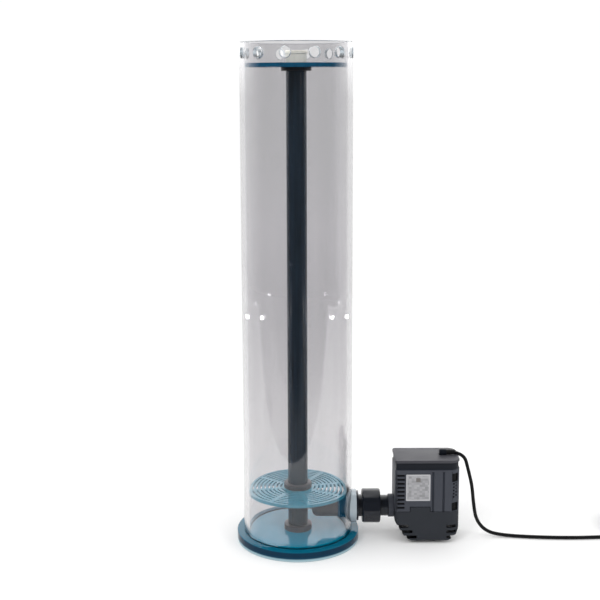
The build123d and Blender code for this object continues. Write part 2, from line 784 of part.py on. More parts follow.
well_radius = magnet_radius + well_gap
floor_top = motor_floor + motor_floor_thickness
with BuildPart() as motor_housing:
    with BuildSketch(Plane.XY.offset(split_height)):
        pump_plan()
    extrude(amount=housing_height)
    with BuildSketch(Plane.XY.offset(neck_start)):
        pump_plan(neck_inset)
    extrude(amount=neck_height)
    # motor room above the floor, and the volute's room below it
    with BuildSketch(Plane.XY.offset(floor_top)):
        pump_plan(pump_wall)
    extrude(amount=lid_start - floor_top, mode=Mode.SUBTRACT)
    with BuildSketch(Plane.XY.offset(split_height)):
        pump_plan(pump_wall)
    extrude(amount=motor_floor - split_height, mode=Mode.SUBTRACT)
    # rotor well, board posts
    with BuildSketch(Plane.XY.offset(floor_top)):
        with Locations((rotor_x, 0)):
            Circle(well_radius + well_wall)
    extrude(amount=well_depth)
    with BuildSketch(Plane.XY.offset(floor_top)):
        with Locations((board_middle, 0)):
            with GridLocations(board_length - 2 * post_inset, board_width - 2 * post_inset, 2, 2):
                Circle(post_radius)
    extrude(amount=board_lift)
    with BuildSketch(Plane.XY.offset(motor_floor)):
        with Locations((rotor_x, 0)):
            Circle(well_radius)
    extrude(amount=well_top - well_cap - motor_floor, mode=Mode.SUBTRACT)
    with BuildSketch(Plane.XY.offset(motor_floor)):
        with Locations((rotor_x, 0)):
            with GridLocations(screw_spacing, screw_spacing, 2, 2):
                Circle(screw_radius + glue_gap)
    extrude(amount=screw_grip + screw_hole_spare, mode=Mode.SUBTRACT)
    # hole for the outlet tube
    with BuildSketch(Plane.YZ.offset(pump_side - 1)):
        with Locations((0, inlet_height)):
            Circle(outlet_tube_radius + glue_gap)
    extrude(amount=pump_wall + 2, mode=Mode.SUBTRACT)
    # vents near the tube, ports and small vents at the far corner, and two upright grooves
    for row in range(vent_count):
        middle = split_height + vent_first + row * vent_pitch
        add(
            skin_block(
                pump_side + vent_from_side,
                pump_side + vent_from_side + vent_width,
                middle - vent_height / 2,
                middle + vent_height / 2,
                vent_depth,
            ),
            mode=Mode.SUBTRACT,
        )
    port_start = pump_side + port_from_side
    for lift in port_lifts:
        low = split_height + lift
        port = skin_block(port_start, port_start + port_width, low, low + port_height, vent_depth)
        add(port, mode=Mode.SUBTRACT)
    for row in range(vent_dot_rows):
        for column in range(2):
            dot_x = port_start + vent_dot_inset + vent_dot_step * column
            dot_z = split_height + vent_dot_first + vent_dot_pitch * (row + 0.4 * column)
            dot = skin_block(dot_x, dot_x + vent_dot_size, dot_z, dot_z + vent_dot_size, vent_depth)
            add(dot, mode=Mode.SUBTRACT)
    for distance in groove_from_side:
        groove = pump_side + distance
        add(
            skin_block(groove, groove + groove_width, split_height, neck_start - groove_end, vent_depth / 2),
            mode=Mode.SUBTRACT,
        )
    # recess for the basket's tongue, and for the rating plate
    tongue_start = pump_side + tongue_from_side
    add(
        skin_block(
            tongue_start - tongue_gap,
            tongue_start + tongue_width + tongue_gap,
            split_height,
            split_height + tongue_height + tongue_gap,
            tongue_thickness + tongue_gap / 2,
        ),
        mode=Mode.SUBTRACT,
    )
    label_start = pump_side + plate_from_side
    label_bottom = split_height + plate_lift
    add(
        skin_block(
            label_start,
            label_start + plate_width,
            label_bottom,
            label_bottom + plate_height,
            rating_plate_thickness / 2,
        ),
        mode=Mode.SUBTRACT,
    )
save(motor_housing.part, "motor_housing")

plate_back = -pump_depth / 2 + rating_plate_thickness / 2
with BuildPart() as rating_plate:
    with BuildSketch(Plane.XZ.offset(-plate_back)):
        with Locations((label_start + plate_width / 2, label_bottom + plate_height / 2)):
            RectangleRounded(plate_width, plate_height, plate_corner)
    extrude(amount=rating_plate_thickness)
save(rating_plate.part, "rating_plate")

with BuildPart() as motor_lid:
    with BuildSketch(Plane.XY.offset(lid_start)):
        pump_plan()
    extrude(amount=lid_thickness)
    fillet(motor_lid.edges().group_by(Axis.Z)[-1], lid_edge_radius)
    # seat for the cable gland and hole for the cable's cores
    with BuildSketch(Plane.YZ.offset(gland_start)):
        with Locations((0, cable_height)):
            Circle(gland_radius + glue_gap)
    extrude(amount=gland_length, mode=Mode.SUBTRACT)
    with BuildSketch(Plane.YZ.offset(cable_exit)):
        with Locations((0, cable_height)):
            Circle(relief_radius + glue_gap)
    extrude(amount=relief_length, mode=Mode.SUBTRACT)
save(motor_lid.part, "motor_lid")

with BuildPart() as housing_screws:
    with BuildSketch(Plane.XY.offset(chamber_top - screw_head_height)):
        with Locations((rotor_x, 0)):
            with GridLocations(screw_spacing, screw_spacing, 2, 2):
                Circle(screw_head_radius)
    extrude(amount=screw_head_height)
    with BuildSketch(Plane.XY.offset(chamber_top)):
        with Locations((rotor_x, 0)):
            with GridLocations(screw_spacing, screw_spacing, 2, 2):
                Circle(screw_radius)
    extrude(amount=volute_top_thickness + screw_grip)
save(housing_screws.part, "housing_screws")

# Pump: basket and feet

with BuildPart() as strainer_basket:
    add(basket_form(0))
    with BuildPart(mode=Mode.PRIVATE) as basket_room:
        add(basket_form(pump_wall))
    add(basket_room.part, mode=Mode.SUBTRACT)
    # intake slots across both lower corners, longest at the top
    for row in range(intake_rows):
        middle = foot_height + intake_first + row * intake_pitch
        near_length = intake_near_length - intake_near_step * row
        with BuildSketch(Plane.XY.offset(middle - intake_slot_height / 2)):
            with Locations((pump_side + (near_length - intake_overshoot) / 2, 0)):
                Rectangle(near_length + intake_overshoot, 2 * pump_depth)
            with Locations((pump_side + pump_length - intake_far_inset, 0)):
                Rectangle(intake_far_length, 2 * pump_depth)
        extrude(amount=intake_slot_height, mode=Mode.SUBTRACT)
    with BuildSketch(Plane.YZ.offset(pump_side - 1)):
        with Locations((0, inlet_height)):
            Circle(outlet_tube_radius + glue_gap)
    extrude(amount=pump_wall + 2, mode=Mode.SUBTRACT)
    add(
        skin_block(
            tongue_start,
            tongue_start + tongue_width,
            split_height - 1,
            split_height + tongue_height,
            tongue_thickness,
        )
    )
    # pillars that carry the volute cover
    with BuildSketch(Plane.XY.offset(foot_height + pump_wall / 2)):
        with Locations((rotor_x, 0)):
            with PolarLocations(volute_radius - pillar_inset, 3, start_angle=60):
                Circle(pillar_radius)
    extrude(amount=cover_bottom - foot_height - pump_wall / 2)
save(strainer_basket.part, "strainer_basket")

with BuildPart() as pump_feet:
    with Locations((pump_middle + foot_shift, 0, 0)):
        with GridLocations(foot_spacing_x, foot_spacing_y, 2, 2):
            Cylinder(foot_radius, foot_height, align=(Align.CENTER, Align.CENTER, Align.MIN))
save(pump_feet.part, "pump_feet")

# Cable outlet

with BuildPart() as cable_gland:
    with BuildSketch(Plane.YZ.offset(gland_start)):
        with Locations((0, cable_height)):
            Circle(gland_radius)
    extrude(amount=gland_length)
    chamfer(cable_gland.edges().group_by(Axis.X)[0], gland_chamfer)
save(cable_gland.part, "cable_gland")

with BuildPart() as strain_relief:
    with BuildSketch(Plane.YZ.offset(cable_exit)):
        with Locations((0, cable_height)):
            Circle(relief_radius)
    with BuildSketch(Plane.YZ.offset(cable_exit + relief_length)):
        with Locations((0, cable_height)):
            Circle(relief_tip_radius)
    loft()
    with BuildSketch(Plane.YZ.offset(cable_exit)):
        with Locations((0, cable_height)):
            Circle(cable_diameter / 2 + glue_gap)
    extrude(amount=relief_length, mode=Mode.SUBTRACT)
save(strain_relief.part, "strain_relief")

# Cable: down from the lid to the floor, then along it to the coil

floor_line = cable_diameter / 2
pump_end = pump_side + pump_length
cable_route = [(cable_exit, 0, cable_height)]
cable_route += [(pump_end + along, side, share * cable_height) for along, side, share in cable_hang]
cable_route += [(pump_end + along, side, floor_line) for along, side in cable_on_floor]


def corner_radii(points):
    """The largest even bend at each corner of a route: 0.45 of its shorter run over tan of half the turn."""
    radii = []
    for before, corner, after in zip(points, points[1:], points[2:]):
        run_in = Vector(*corner) - Vector(*before)
        run_out = Vector(*after) - Vector(*corner)
        turn = run_in.get_angle(run_out)
        radii.append(0.45 * min(run_in.length, run_out.length) / tan(radians(turn) / 2))
    return radii


bend_radii = corner_radii(cable_route)
print("cable bend radii", [round(radius, 1) for radius in bend_radii])
with BuildPart() as pump_cable:
    with BuildLine():
        cable_path = FilletPolyline(*cable_route, radius=bend_radii)
    with BuildSketch(Plane(origin=cable_route[0], z_dir=cable_path % 0)):
        Circle(cable_diameter / 2)
    sweep(path=cable_path)
cable_length = cable_path.length
print("cable to coil", round(cable_length, 1), "volume / (section x length)",
      round(pump_cable.part.volume / (cable_length * pi * (cable_diameter / 2) ** 2), 5))
save(pump_cable.part, "pump_cable")

coil_center = (pump_end + coil_from_pump, coil_side)
coil_half_width = coil_layers * cable_diameter / 2
coil_height = coil_layers * cable_diameter
with BuildPart() as cable_coil:
    with BuildSketch():
        with Locations(coil_center):
            Circle(coil_turn_radius + coil_half_width)
            Circle(coil_turn_radius - coil_half_width, mode=Mode.SUBTRACT)
    extrude(amount=coil_height)
    fillet(cable_coil.edges(), coil_edge_radius)
save(cable_coil.part, "cable_coil")

connector_x = coil_center[0] + connector_offset
connector_y = coil_center[1] + connector_end_offset
connector_z = coil_height + connector_nut_radius
connector_plane = Plane(origin=(connector_x, connector_y, connector_z), z_dir=(0, -1, 0))
with BuildPart() as cable_connector:
    with BuildSketch(connector_plane):
        Circle(connector_radius)
    extrude(amount=connector_length)
    with BuildSketch(connector_plane.offset(connector_length - connector_nut_length)):
        Circle(connector_nut_radius)
    extrude(amount=connector_nut_length)
    with BuildSketch(connector_plane.offset(connector_length - connector_mouth_depth)):
        Circle(connector_nut_radius - connector_mouth_wall)
        Circle(connector_pin_radius, mode=Mode.SUBTRACT)
    extrude(amount=connector_mouth_depth, mode=Mode.SUBTRACT)
save(cable_connector.part, "cable_connector")
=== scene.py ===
"""Looks of the reactor column and its side pump, in metres, in the frame of the CAD part.

The column is clear acrylic on a thick blue acrylic base, with a grey pressure pipe and two slotted blue
plates inside it. The pump is spark-eroded grey plastic with a darker strainer basket, and its lead falls
to the floor and runs along it to a coil.
"""

from math import pi, radians

import bmesh
import bpy
import numpy as np
from mathutils import Matrix, Vector


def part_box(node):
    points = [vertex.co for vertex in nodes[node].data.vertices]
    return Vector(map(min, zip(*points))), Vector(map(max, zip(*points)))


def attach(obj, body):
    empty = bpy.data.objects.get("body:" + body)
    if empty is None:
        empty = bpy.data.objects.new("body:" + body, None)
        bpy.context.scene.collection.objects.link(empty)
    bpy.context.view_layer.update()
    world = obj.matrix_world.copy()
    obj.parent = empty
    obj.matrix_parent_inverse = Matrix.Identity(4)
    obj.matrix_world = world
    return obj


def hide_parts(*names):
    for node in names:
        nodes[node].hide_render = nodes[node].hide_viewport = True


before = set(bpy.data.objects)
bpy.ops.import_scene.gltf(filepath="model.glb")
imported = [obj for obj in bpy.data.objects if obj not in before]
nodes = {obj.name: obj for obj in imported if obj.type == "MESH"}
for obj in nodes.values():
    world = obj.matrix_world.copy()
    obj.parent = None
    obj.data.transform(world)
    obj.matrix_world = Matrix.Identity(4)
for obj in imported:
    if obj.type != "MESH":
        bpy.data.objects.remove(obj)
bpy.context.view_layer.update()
scene = bpy.context.scene
mm = 0.001

# measures that several pieces and finishes share
tube_low, tube_high = (np.array(corner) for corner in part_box("reactor_tube"))
tube_radius, tube_bore = tube_high[1], tube_high[1] - 5 * mm
base_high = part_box("base_plate")[1]
base_radius, base_top = base_high[0], base_high[2]
riser_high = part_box("riser_pipe")[1]
riser_radius = riser_high[0]
pipe_wall = 1.5 * mm
glue_gap = 0.02 * mm
inlet_height = 32.8 * mm

# ---------------------------------------------------------------- camera, light, floor


def look_from(place, pitch, roll, lens, shift):
    """A camera at a place, looking along +Y, turned down by pitch and about its own axis by roll."""
    camera = bpy.data.objects.new("camera", bpy.data.cameras.new("camera"))
    scene.collection.objects.link(camera)
    camera.data.lens, camera.data.sensor_width = lens, 36
    camera.data.shift_y = shift
    camera.data.clip_start, camera.data.clip_end = 0.01, 50
    turn = Matrix.Rotation(pi / 2 - pitch, 4, "X") @ Matrix.Rotation(roll, 4, "Z")
    camera.matrix_world = Matrix.Translation(place) @ turn
    scene.camera = camera


def softbox(name, place, aim, width, height, power, glossy=False):
    """A rectangular area light at a place, facing a point, mirrored in gloss only where asked."""
    light = bpy.data.lights.new(name, "AREA")
    light.shape, light.size, light.size_y = "RECTANGLE", width, height
    light.energy = power
    lamp = bpy.data.objects.new(name, light)
    lamp.visible_glossy = glossy
    scene.collection.objects.link(lamp)
    lamp.location = place
    lamp.rotation_euler = (Vector(aim) - Vector(place)).to_track_quat("-Z", "Y").to_euler()


def bright_backdrop(seen, behind, ahead):
    """A world that is an even white of strength seen all round, except in reflections. They find a backdrop
    towards +Y, of strength behind above the horizon, and a dim room of strength ahead towards -Y."""
    world = bpy.data.worlds.new("studio")
    world.use_nodes = True
    recipe = Recipe(world.node_tree)
    background = world.node_tree.nodes["Background"]
    heading = recipe.add("ShaderNodeTexCoord").outputs["Generated"]
    toward = recipe.add("ShaderNodeSeparateXYZ", {"Vector": heading})
    backdrop = recipe.spread(toward.outputs["Z"], seen, behind, -0.02, 0.12)
    reflected = recipe.spread(toward.outputs["Y"], ahead, backdrop, -0.15, 0.35)
    path = recipe.add("ShaderNodeLightPath").outputs
    gloss = recipe.sum("GREATER_THAN", path["Glossy Depth"], 0.5)
    direct = recipe.sum("LESS_THAN", path["Diffuse Depth"], 0.5)
    share = recipe.sum("MULTIPLY", gloss, direct)
    extra = recipe.sum("SUBTRACT", reflected, seen)
    recipe.set(background.inputs["Strength"], recipe.sum("MULTIPLY_ADD", extra, share, seen))
    background.inputs["Color"].default_value = (1, 1, 1, 1)
    scene.world = world


def pale_floor(front, reach, turn):
    """A flat white floor just under the object: a grid from -front to reach along Y and reach to both sides,
    turned about the column's axis. A point is (x cos a - y sin a, x sin a + y cos a) for the turn a."""
    x, y = np.meshgrid(np.linspace(-reach, reach, 9), np.linspace(-front, reach, 9), indexing="ij")
    points = np.stack([
        x * np.cos(turn) - y * np.sin(turn), x * np.sin(turn) + y * np.cos(turn), np.full_like(x, -0.0002),
    ], -1)
    mesh = bpy.data.meshes.new("floor")
    mesh.from_pydata(points.reshape(-1, 3).tolist(), [], grid_faces(9, 9)[:, ::-1].tolist())
    floor = bpy.data.objects.new("floor", mesh)
    scene.collection.objects.link(floor)
    material, recipe, surface = new_material("floor_white")
    paint = recipe.add("ShaderNodeTexNoise", {"Scale": 30.0, "Detail": 3.0})
    recipe.set(surface.inputs["Roughness"], recipe.spread(paint.outputs["Fac"], 0.8, 0.95))
    surface.inputs["Base Color"].default_value = (0.97, 0.97, 0.97, 1)
    surface.inputs["Specular IOR Level"].default_value = 0.1
    mesh.materials.append(material)


# ---------------------------------------------------------------- surfaces


def grid_faces(rows, columns, around=False, looped=False, keep=None):
    """The four corner numbers of each cell of a grid of points. around joins the last column to the
    first, looped the last row to the first, and keep, a mask of cells, leaves cells out."""
    row, column = np.meshgrid(
        np.arange(rows if looped else rows - 1), np.arange(columns if around else columns - 1), indexing="ij"
    )
    next_row, next_column = (row + 1) % rows, (column + 1) % columns
    corners = np.stack(
        [row * columns + column, row * columns + next_column,
         next_row * columns + next_column, next_row * columns + column], -1
    )
    return corners.reshape(-1, 4) if keep is None else corners[keep]


def close_mesh(work, mesh, sharp):
    """Joins shared points, turns faces outwards, and keeps edges steeper than sharp degrees crisp."""
    bmesh.ops.remove_doubles(work, verts=work.verts, dist=2e-6)
    bmesh.ops.dissolve_degenerate(work, edges=work.edges, dist=1e-7)
    bmesh.ops.recalc_face_normals(work, faces=work.faces)
    for face in work.faces:
        face.smooth = True
    for edge in work.edges:
        edge.smooth = len(edge.link_faces) == 2 and edge.calc_face_angle(0) < radians(sharp)
    work.to_mesh(mesh)
    work.free()


def place_piece(name, mesh, body, finish, stands_for):
    """The object of a finished mesh: its material, its body, and the CAD nodes it stands for."""
    mesh.materials.clear()
    mesh.materials.append(finishes[finish])
    piece = bpy.data.objects.new(name, mesh)
    scene.collection.objects.link(piece)
    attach(piece, body)
    if stands_for:
        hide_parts(*stands_for)
    return piece


def make_piece(name, sheets, body, finish, stands_for=(), sharp=35):
    """One closed piece from sheets, each a grid of points and its faces, joined where they meet."""
    points = np.concatenate([sheet[0].reshape(-1, 3) for sheet in sheets])
    starts = np.cumsum([0] + [sheet[0].size // 3 for sheet in sheets[:-1]])
    faces = np.concatenate([sheet[1] + start for sheet, start in zip(sheets, starts)])
    mesh = bpy.data.meshes.new(name)
    mesh.from_pydata(points.tolist(), [], faces.tolist())
    work = bmesh.new()
    work.from_mesh(mesh)
    close_mesh(work, mesh, sharp)
    return place_piece(name, mesh, body, finish, stands_for)


def soften(name, node, body, finish, width, sharp=30):
    """A softened stand-in for a CAD node: a copy of its mesh with its doubles merged, its flat faces
    joined up, and every sharp edge rounded to a width."""
    mesh = bpy.data.meshes.new(name)
    work = bmesh.new()
    work.from_mesh(nodes[node].data)
    bmesh.ops.remove_doubles(work, verts=work.verts, dist=1e-6)
    bmesh.ops.dissolve_limit(work, angle_limit=radians(1), verts=work.verts, edges=work.edges)
    close_mesh(work, mesh, sharp)
    piece = place_piece(name, mesh, body, finish, [node])
    edge = piece.modifiers.new("soft edges", "BEVEL")
    edge.width, edge.segments = width, 2
    edge.limit_method, edge.angle_limit = "ANGLE", radians(sharp)
    edge.use_clamp_overlap = False
    return piece


def round_corners(corners, radius, looped=True, steps=4):
    """An outline with each corner replaced by a parabola that starts a radius before it and ends a radius
    after it, or less where a side is short. An open outline keeps its two ends."""
    corners = np.array(corners, float)
    reach = np.broadcast_to(np.array(radius, float), len(corners))[:, None]
    back, ahead = np.roll(corners, 1, 0) - corners, np.roll(corners, -1, 0) - corners
    if not looped:
        back[0], ahead[-1] = 0, 0
    back_length = np.maximum(np.linalg.norm(back, axis=1, keepdims=True), 1e-9)
    ahead_length = np.maximum(np.linalg.norm(ahead, axis=1, keepdims=True), 1e-9)
    start = corners + back / back_length * np.minimum(reach, 0.45 * back_length)
    end = corners + ahead / ahead_length * np.minimum(reach, 0.45 * ahead_length)
    t = np.linspace(0, 1, steps + 1)[None, :, None]
    curve = (1 - t) ** 2 * start[:, None] + 2 * t * (1 - t) * corners[:, None] + t**2 * end[:, None]
    if looped:
        return curve.reshape(-1, 2)
    return np.concatenate([corners[:1], curve[1:-1].reshape(-1, 2), corners[-1:]])


def turned(outline, center, axis="z", columns=96, looped=True):
    """An outline of (radius, place along the axis) carried round the axis: a point is the centre, plus its
    place along the axis, plus its radius times (cos a, sin a) across the axis. A looped outline makes a
    ring; an open one starts and ends on the axis."""
    angle = np.linspace(0, 2 * pi, columns, endpoint=False)
    outline = np.array(outline, float)
    radius, place = outline[:, :1], outline[:, 1:]
    across, up, along = radius * np.cos(angle), radius * np.sin(angle), place + 0 * angle
    order = {"z": (across, up, along), "x": (along, across, up), "y": (up, along, across)}[axis]
    points = np.stack(order, -1) + np.array(center)
    return points, grid_faces(len(outline), columns, around=True, looped=looped)


def ring(inner, outer, low, high):
    """The four corners of a ring's section."""
    return [(inner, low), (outer, low), (outer, high), (inner, high)]


def side_pipe(rows, height, columns=120):
    """A ring about an axis along X at a height, each row at its own radius and its own X, where X may be a
    function of y: a point is (X of y, radius * cos a, height + radius * sin a)."""
    angle = np.linspace(0, 2 * pi, columns, endpoint=False)
    sheet = np.zeros((len(rows), columns, 3))
    for number, (radius, place) in enumerate(rows):
        y = radius * np.cos(angle)
        sheet[number, :, 0] = place(y) if callable(place) else place
        sheet[number, :, 1], sheet[number, :, 2] = y, height + radius * np.sin(angle)
    return sheet, grid_faces(len(rows), columns, around=True, looped=True)


def on_wall(radius):
    """The X at which a line along X at y meets an upright cylinder of a radius."""
    return lambda y: np.sqrt(radius**2 - y**2)


# ---------------------------------------------------------------- material recipes


class Recipe:
    """Adds nodes and links to one node tree, left to right."""

    def __init__(self, tree):
        self.tree = tree
        self.column = 0

    def add(self, kind, inputs=None, **settings):
        node = self.tree.nodes.new(kind)
        self.column += 1
        node.location = (200 * self.column, -60 * (self.column % 4))
        for name, value in settings.items():
            setattr(node, name, value)
        for name, value in (inputs or {}).items():
            self.set(node.inputs[name], value)
        return node

    def set(self, socket, value):
        if isinstance(value, bpy.types.NodeSocket):
            self.tree.links.new(value, socket)
        else:
            socket.default_value = value

    def sum(self, kind, first, second=0.0, third=0.0):
        """One step of arithmetic on numbers."""
        return self.add("ShaderNodeMath", {0: first, 1: second, 2: third}, operation=kind).outputs[0]

    def spread(self, factor, low, high, start=0.0, end=1.0):
        """A number carried from the range start to end over to the range low to high, and held at its ends."""
        node = self.add("ShaderNodeMapRange", {
            "Value": factor, "From Min": start, "From Max": end, "To Min": low, "To Max": high,
        })
        return node.outputs["Result"]

    def mix(self, factor, first, second, blend="MIX"):
        """Two colours mixed by a factor."""
        node = self.add("ShaderNodeMix", data_type="RGBA", blend_type=blend)
        for number, value in ((0, factor), (6, first), (7, second)):
            self.set(node.inputs[number], value if not isinstance(value, tuple) else (*value, 1))
        return node.outputs[2]

    def ramp(self, factor, stops):
        """Colours at places along a factor."""
        node = self.add("ShaderNodeValToRGB", {"Fac": factor})
        elements = node.color_ramp.elements
        while len(elements) < len(stops):
            elements.new(0.5)
        for element, (place, color) in zip(elements, stops):
            element.position = place
            element.color = (*color, 1)
        return node.outputs["Color"]

    def place(self):
        """Where a point is on the object, in metres: the vector and its X, Y and Z."""
        spot = self.add("ShaderNodeTexCoord").outputs["Object"]
        parts = self.add("ShaderNodeSeparateXYZ", {"Vector": spot}).outputs
        return spot, parts["X"], parts["Y"], parts["Z"]

    def from_axis(self):
        """How far a point lies from the column's axis, in metres."""
        flat = self.stretched(self.place()[0], (1, 1, 0))
        return self.add("ShaderNodeVectorMath", {0: flat}, operation="LENGTH").outputs["Value"]

    def stretched(self, spot, scale):
        """The place, with each axis scaled by its own amount, for a grain that runs along an axis."""
        return self.add("ShaderNodeMapping", {"Vector": spot, "Scale": scale}).outputs["Vector"]


def effect(name, inputs, outputs, build):
    """A shader node group with named inputs (name, type, value) and outputs, filled in by build."""
    tree = bpy.data.node_groups.new(name, "ShaderNodeTree")
    for label, kind, value in inputs:
        socket = tree.interface.new_socket(label, in_out="INPUT", socket_type=kind)
        socket.default_value = value
    for label, kind in outputs:
        tree.interface.new_socket(label, in_out="OUTPUT", socket_type=kind)
    recipe = Recipe(tree)
    start = recipe.add("NodeGroupInput")
    results = build(recipe, start.outputs)
    end = recipe.add("NodeGroupOutput")
    for label, value in results.items():
        tree.links.new(value, end.inputs[label])
    return tree


def build_grain(recipe, given):
    """Spark-eroded or moulded texture: a close noise for height, a wider one for colour and gloss."""
    spot = recipe.place()[0]
    fine = recipe.add("ShaderNodeTexNoise", {"Vector": spot, "Scale": given["Scale"], "Detail": 3.0})
    wide = recipe.add("ShaderNodeTexNoise", {"Vector": spot, "Scale": 55.0, "Detail": 4.0, "Roughness": 0.6})
    shade = recipe.spread(wide.outputs["Fac"], -1.0, 1.0, 0.25, 0.75)
    shift = recipe.sum("MULTIPLY_ADD", shade, given["Variation"], 1.0)
    color = recipe.add("ShaderNodeVectorMath", {0: given["Color"], "Scale": shift}, operation="SCALE")
    gloss = recipe.sum("MULTIPLY_ADD", shade, 0.06, given["Roughness"])
    return {"Color": color.outputs["Vector"], "Roughness": gloss, "Height": fine.outputs["Fac"]}


grain = effect(
    "moulded_grain",
    [
        ("Color", "NodeSocketColor", (0.1, 0.1, 0.1, 1)),
        ("Scale", "NodeSocketFloat", 2600.0),
        ("Variation", "NodeSocketFloat", 0.08),
        ("Roughness", "NodeSocketFloat", 0.45),
    ],
    [("Color", "NodeSocketColor"), ("Roughness", "NodeSocketFloat"), ("Height", "NodeSocketFloat")],
    build_grain,
)


def build_polish(recipe, given):
    """Polished sheet: faint wiping haze in its gloss and a very shallow waviness."""
    spot = recipe.place()[0]
    haze = recipe.add("ShaderNodeTexNoise", {"Vector": spot, "Scale": 18.0, "Detail": 5.0, "Roughness": 0.55})
    wave = recipe.add("ShaderNodeTexNoise", {"Vector": spot, "Scale": given["Wave"], "Detail": 1.0})
    wiped = recipe.spread(haze.outputs["Fac"], 0.0, 1.0, 0.45, 0.75)
    gloss = recipe.sum("MULTIPLY_ADD", wiped, given["Haze"], given["Roughness"])
    return {"Roughness": gloss, "Height": wave.outputs["Fac"]}


polish = effect(
    "polished_sheet",
    [
        ("Roughness", "NodeSocketFloat", 0.02),
        ("Haze", "NodeSocketFloat", 0.03),
        ("Wave", "NodeSocketFloat", 9.0),
    ],
    [("Roughness", "NodeSocketFloat"), ("Height", "NodeSocketFloat")],
    build_polish,
)


def build_draw_lines(recipe, given):
    """Lines drawn along an extrusion: noise stretched along Z, as a shade from 1 - Depth to 1 + Depth."""
    spot = recipe.place()[0]
    narrow = recipe.stretched(spot, (1.0, 1.0, 0.02))
    lines = recipe.add("ShaderNodeTexNoise", {"Vector": narrow, "Scale": given["Scale"], "Detail": 3.0})
    shade = recipe.spread(lines.outputs["Fac"], -1.0, 1.0, 0.3, 0.7)
    color = recipe.add("ShaderNodeVectorMath", {
        0: given["Color"], "Scale": recipe.sum("MULTIPLY_ADD", shade, given["Depth"], 1.0),
    }, operation="SCALE")
    return {"Color": color.outputs["Vector"]}


draw_lines = effect(
    "draw_lines",
    [
        ("Color", "NodeSocketColor", (0.5, 0.5, 0.5, 1)),
        ("Scale", "NodeSocketFloat", 160.0),
        ("Depth", "NodeSocketFloat", 0.05),
    ],
    [("Color", "NodeSocketColor")],
    build_draw_lines,
)


def build_pump_depth(recipe, given):
    """How deep a point lies under the pump's upright skin, in metres: the distance inside a rounded
    rectangle whose corners are small towards the tube and large away from it."""
    x, y = recipe.place()[1:3]
    low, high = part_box("motor_housing")
    middle, half_x, half_y = (low[0] + high[0]) / 2, (high[0] - low[0]) / 2, (high[1] - low[1]) / 2
    near_corner, far_corner = 3 * mm, 10 * mm
    near = recipe.sum("LESS_THAN", x, middle)
    corner = recipe.sum("MULTIPLY_ADD", near, near_corner - far_corner, far_corner)
    beyond = []
    for place, center, half in ((x, middle, half_x), (y, 0.0, half_y)):
        reach = recipe.sum("ABSOLUTE", recipe.sum("SUBTRACT", place, center))
        beyond.append(recipe.sum("ADD", recipe.sum("SUBTRACT", reach, half), corner))
    outside = recipe.add("ShaderNodeCombineXYZ", {
        "X": recipe.sum("MAXIMUM", beyond[0], 0.0), "Y": recipe.sum("MAXIMUM", beyond[1], 0.0),
    })
    length = recipe.add("ShaderNodeVectorMath", {0: outside.outputs[0]}, operation="LENGTH").outputs["Value"]
    within = recipe.sum("MINIMUM", recipe.sum("MAXIMUM", beyond[0], beyond[1]), 0.0)
    return {"Depth": recipe.sum("SUBTRACT", corner, recipe.sum("ADD", length, within))}


pump_depth = effect("pump_depth", [], [("Depth", "NodeSocketFloat")], build_pump_depth)


def new_material(name):
    """A new material, its recipe and its surface shader."""
    material = bpy.data.materials.new(name)
    material.use_nodes = True
    tree = material.node_tree
    return material, Recipe(tree), tree.nodes["Principled BSDF"]


def place_group(recipe, group, values):
    """One use of an effect, with its own values."""
    node = recipe.add("ShaderNodeGroup", node_tree=group)
    for name, value in values.items():
        recipe.set(node.inputs[name], (*value, 1) if isinstance(value, tuple) else value)
    return node.outputs


def bump(recipe, height, strength, distance):
    """A normal from a height."""
    node = recipe.add("ShaderNodeBump", {"Height": height, "Strength": strength, "Distance": distance})
    return node.outputs["Normal"]


def moulded(name, color, roughness, variation=0.08, scale=2600.0, strength=0.25, specular=0.5, paint=None):
    """Moulded or extruded plastic with a fine grain. paint changes the grained colour over the surface."""
    material, recipe, surface = new_material(name)
    look = place_group(recipe, grain, {
        "Color": color, "Scale": scale, "Variation": variation, "Roughness": roughness,
    })
    shade = paint(recipe, look["Color"]) if paint else look["Color"]
    recipe.set(surface.inputs["Base Color"], shade)
    recipe.set(surface.inputs["Roughness"], look["Roughness"])
    recipe.set(surface.inputs["Normal"], bump(recipe, look["Height"], strength, 0.0001))
    surface.inputs["Specular IOR Level"].default_value = specular
    return material


def sheet_acrylic(
    name, color, through, roughness=0.015, haze=0.03, paint=None, cut=None, specular=0.5, soak=0.0
):
    """Polished acrylic that lets a share of the light through. haze is how far its gloss varies, paint
    changes its colour over the surface, and cut, a mask, gives sawn and drilled faces a frosted gloss. soak
    is the density that takes light on its way through, which darkens the long ways at the edges."""
    material, recipe, surface = new_material(name)
    look = place_group(recipe, polish, {"Roughness": roughness, "Haze": haze, "Wave": 9.0})
    lines = place_group(recipe, draw_lines, {"Color": color, "Scale": 90.0, "Depth": 0.035})
    shade = paint(recipe, lines["Color"]) if paint else lines["Color"]
    recipe.set(surface.inputs["Base Color"], shade)
    gloss = recipe.sum("MULTIPLY_ADD", cut(recipe), 0.6, look["Roughness"]) if cut else look["Roughness"]
    recipe.set(surface.inputs["Roughness"], gloss)
    recipe.set(surface.inputs["Normal"], bump(recipe, look["Height"], 0.03, 0.0005))
    surface.inputs["Metallic"].default_value = 0.0
    surface.inputs["Transmission Weight"].default_value = through
    surface.inputs["IOR"].default_value = 1.49
    surface.inputs["Specular IOR Level"].default_value = specular
    if soak:
        depth = recipe.add("ShaderNodeVolumeAbsorption")
        depth.inputs["Color"].default_value = (0, 0, 0, 1)
        depth.inputs["Density"].default_value = soak
        recipe.set(material.node_tree.nodes["Material Output"].inputs["Volume"], depth.outputs["Volume"])
    return material


